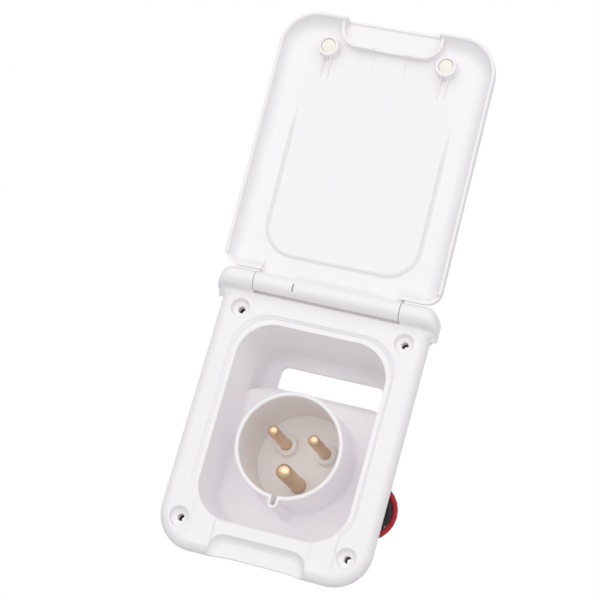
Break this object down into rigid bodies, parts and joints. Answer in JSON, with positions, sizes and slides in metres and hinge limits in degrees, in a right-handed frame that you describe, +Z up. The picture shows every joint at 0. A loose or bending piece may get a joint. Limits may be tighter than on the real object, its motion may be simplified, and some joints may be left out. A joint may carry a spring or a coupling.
{
  "type": "caravan power inlet",
  "caption": "Flush-mounted power inlet with a deep stepped bowl, a round keyed pin tube, a rear cord window and a hinged dished lid, shown open.",
  "frame": {"origin": "centre of the four screw holes' pattern, on the wall plane behind the gasket", "axes": "+X to the right seen from the front, +Y from the front into the wall, +Z up towards the hinge and the open lid"},
  "size_m": [0.1004, 0.0793, 0.2456],
  "materials": {
    "white_plastic": "satin white moulded plastic",
    "cream_magnet": "cream coated magnet",
    "brass": "turned and lightly polished",
    "steel": "plain bright steel",
    "black_foam": "matt closed-cell foam",
    "red_sheath": "smooth flexible sheath",
    "black_sheath": "smooth flexible sheath",
    "green_sheath": "smooth flexible sheath",
    "white_tie": "smooth moulded nylon"
  },
  "bodies": {
    "housing": {"housing": "white_plastic", "gasket": "black_foam", "pin_carrier": "white_plastic", "pin_line": "brass", "pin_neutral": "brass", "pin_earth": "brass", "terminal_screw_line": "steel", "terminal_screw_neutral": "steel", "terminal_screw_earth": "steel", "carrier_screw_upper": "steel", "carrier_screw_lower": "steel", "clamp_screw_upper": "steel", "clamp_screw_lower": "steel", "cord_clamp": "white_plastic", "lead_red": "red_sheath", "lead_black": "black_sheath", "lead_green": "green_sheath", "lead_tie": "white_tie", "hinge_pin_left": "steel", "hinge_pin_right": "steel", "catch_plate_left": "steel", "catch_plate_right": "steel"},
    "lid": {"lid": "white_plastic", "magnet_left": "cream_magnet", "magnet_right": "cream_magnet"}
  },
  "joints": [
    {"name": "lid_hinge", "type": "hinge", "parent": "housing", "child": "lid", "pos_m": [0, -0.0125, 0.0606], "axis": [1, 0, 0], "range_deg": [0, 174]}
  ]
}
